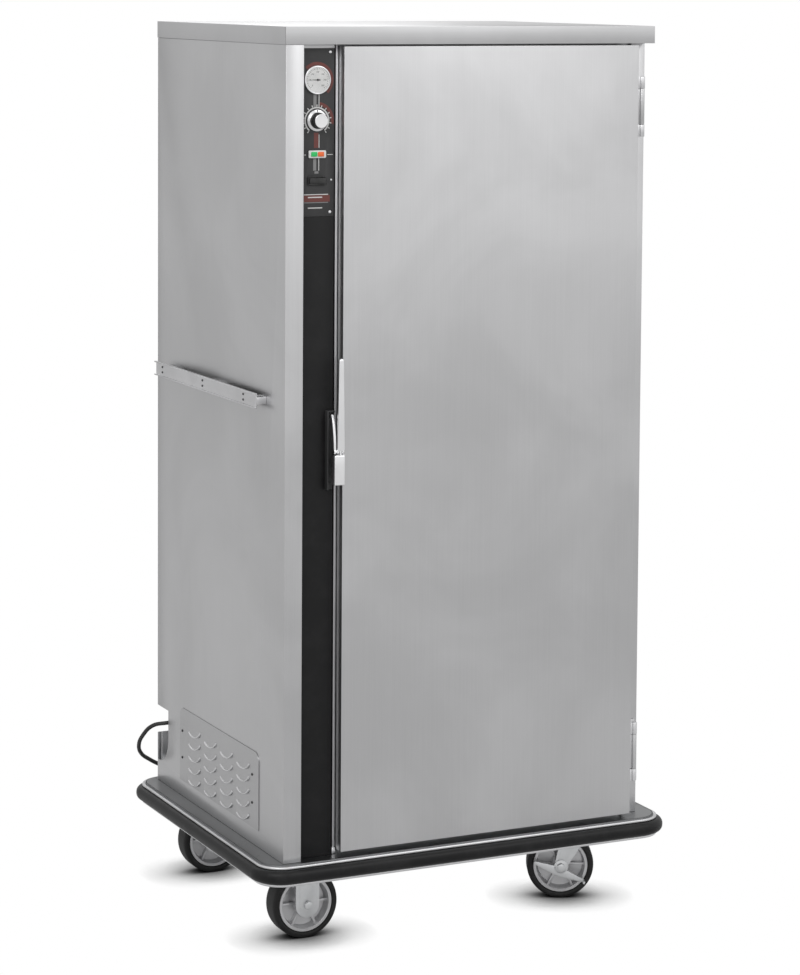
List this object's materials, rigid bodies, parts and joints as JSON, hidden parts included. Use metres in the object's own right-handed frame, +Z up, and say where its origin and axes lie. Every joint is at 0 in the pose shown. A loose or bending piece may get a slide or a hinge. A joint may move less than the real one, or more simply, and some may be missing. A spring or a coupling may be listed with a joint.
{
  "type": "heated banquet cabinet",
  "caption": "Tall insulated steel cabinet on casters with a bumpered platform, hinged door, side push rails, a control panel, wire shelves and a power cord.",
  "frame": {"origin": "on the floor under the centre of the platform's bounding box, the free cord left out", "axes": "+Z up, -Y to the front where the door is, +X to the hinge side"},
  "size_m": [1.007, 1.0455, 1.986],
  "materials": {
    "skin_steel": "brushed",
    "inner_steel": "satin",
    "platform_steel": "satin",
    "aluminium": "satin",
    "chrome": "polished",
    "zinc": "zinc plated",
    "hub_metal": "cast",
    "black_paint": "satin",
    "black_plastic": "matt",
    "cord_sheath": "matt",
    "bumper_vinyl": "matt",
    "gasket_rubber": "matt",
    "tyre": "matt",
    "dial_white": "printed",
    "lens_green": "translucent",
    "lens_amber": "translucent"
  },
  "bodies": {
    "cabinet": {"base_platform": "platform_steel", "bumper_channel": "aluminium", "bumper_strip": "bumper_vinyl", "chassis_frame": "zinc", "left_side_panel": "skin_steel", "right_side_panel": "skin_steel", "back_panel": "skin_steel", "top_cap": "skin_steel", "front_frame": "inner_steel", "cavity_liner": "inner_steel", "wire_shelf_1": "chrome", "wire_shelf_2": "chrome", "wire_shelf_3": "chrome", "heater_element": "inner_steel", "heat_shield": "inner_steel", "control_panel": "black_paint", "chase_trim": "black_paint", "thermometer_case": "chrome", "thermometer_dial": "dial_white", "indicator_housing": "chrome", "green_lens": "lens_green", "amber_lens": "lens_amber", "rocker_frame": "black_plastic", "louvre_panel": "skin_steel", "left_rail": "aluminium", "right_rail": "aluminium", "hinge_frame_leaf_top": "skin_steel", "hinge_frame_leaf_bottom": "skin_steel", "latch_strike": "black_paint", "rigid_caster_front_fork": "zinc", "rigid_caster_rear_fork": "zinc", "swivel_caster_front_plate": "zinc", "swivel_caster_rear_plate": "zinc", "cord_pocket": "inner_steel", "strain_relief": "black_plastic", "power_cord": "cord_sheath", "cord_coil": "cord_sheath", "plug": "black_plastic"},
    "door": {"door_shell": "skin_steel", "door_liner": "inner_steel", "door_gasket": "gasket_rubber", "hinge_door_leaf_top": "chrome", "hinge_door_leaf_bottom": "chrome", "latch_body": "chrome"},
    "latch_handle": {"latch_lever": "chrome"},
    "thermostat_control": {"thermostat_knob": "aluminium"},
    "dial_needle": {"thermometer_needle": "black_plastic"},
    "power_key": {"rocker_switch": "black_plastic"},
    "rigid_wheel_front": {"rigid_caster_front_hub": "hub_metal", "rigid_caster_front_tyre": "tyre"},
    "rigid_wheel_rear": {"rigid_caster_rear_hub": "hub_metal", "rigid_caster_rear_tyre": "tyre"},
    "swivel_front": {"swivel_caster_front_fork": "zinc"},
    "swivel_rear": {"swivel_caster_rear_fork": "zinc"},
    "swivel_wheel_front": {"swivel_caster_front_hub": "hub_metal", "swivel_caster_front_tyre": "tyre"},
    "swivel_wheel_rear": {"swivel_caster_rear_hub": "hub_metal", "swivel_caster_rear_tyre": "tyre"},
    "brake_front": {"swivel_caster_front_brake": "zinc"},
    "brake_rear": {"swivel_caster_rear_brake": "zinc"}
  },
  "joints": [
    {"name": "door_hinge", "type": "hinge", "parent": "cabinet", "child": "door", "pos_m": [0.4215, -0.3635, 1.08], "axis": [0, 0, 1], "range_deg": [0, 180]},
    {"name": "latch_pivot", "type": "hinge", "parent": "door", "child": "latch_handle", "pos_m": [-0.322, -0.3825, 1.086], "axis": [1, 0, 0], "range_deg": [0, 35], "stiffness_Nm_per_rad": 0.5, "springref_deg": -11.46},
    {"name": "thermostat_turn", "type": "hinge", "parent": "cabinet", "child": "thermostat_control", "pos_m": [-0.3625, -0.3525, 1.7877], "axis": [0, 1, 0], "range_deg": [0, 300]},
    {"name": "needle_turn", "type": "hinge", "parent": "cabinet", "child": "dial_needle", "pos_m": [-0.3625, -0.3528, 1.8732], "axis": [0, 1, 0], "range_deg": [-40, 220], "stiffness_Nm_per_rad": 0.002},
    {"name": "power_rock", "type": "hinge", "parent": "cabinet", "child": "power_key", "pos_m": [-0.3625, -0.3546, 1.6607], "axis": [0, 0, 1], "range_deg": [0, 16]},
    {"name": "rigid_front_roll", "type": "hinge", "parent": "cabinet", "child": "rigid_wheel_front", "pos_m": [-0.343, -0.2445, 0.076], "axis": [0, 1, 0], "continuous": true},
    {"name": "rigid_rear_roll", "type": "hinge", "parent": "cabinet", "child": "rigid_wheel_rear", "pos_m": [-0.343, 0.2805, 0.076], "axis": [0, 1, 0], "continuous": true},
    {"name": "swivel_front_turn", "type": "hinge", "parent": "cabinet", "child": "swivel_front", "pos_m": [0.343, -0.2445, 0.17], "axis": [0, 0, 1], "continuous": true},
    {"name": "swivel_front_roll", "type": "hinge", "parent": "swivel_front", "child": "swivel_wheel_front", "pos_m": [0.30829, -0.22904, 0.076], "axis": [0.4067, 0.9135, 0], "continuous": true},
    {"name": "brake_front_press", "type": "hinge", "parent": "swivel_front", "child": "brake_front", "pos_m": [0.30829, -0.22904, 0.076], "axis": [0.4067, 0.9135, 0], "range_deg": [-12, 12]},
    {"name": "swivel_rear_turn", "type": "hinge", "parent": "cabinet", "child": "swivel_rear", "pos_m": [0.343, 0.2805, 0.17], "axis": [0, 0, 1], "continuous": true},
    {"name": "swivel_rear_roll", "type": "hinge", "parent": "swivel_rear", "child": "swivel_wheel_rear", "pos_m": [0.30583, 0.2726, 0.076], "axis": [-0.2079, 0.9781, 0], "continuous": true},
    {"name": "brake_rear_press", "type": "hinge", "parent": "swivel_rear", "child": "brake_rear", "pos_m": [0.30583, 0.2726, 0.076], "axis": [-0.2079, 0.9781, 0], "range_deg": [-12, 12]}
  ]
}
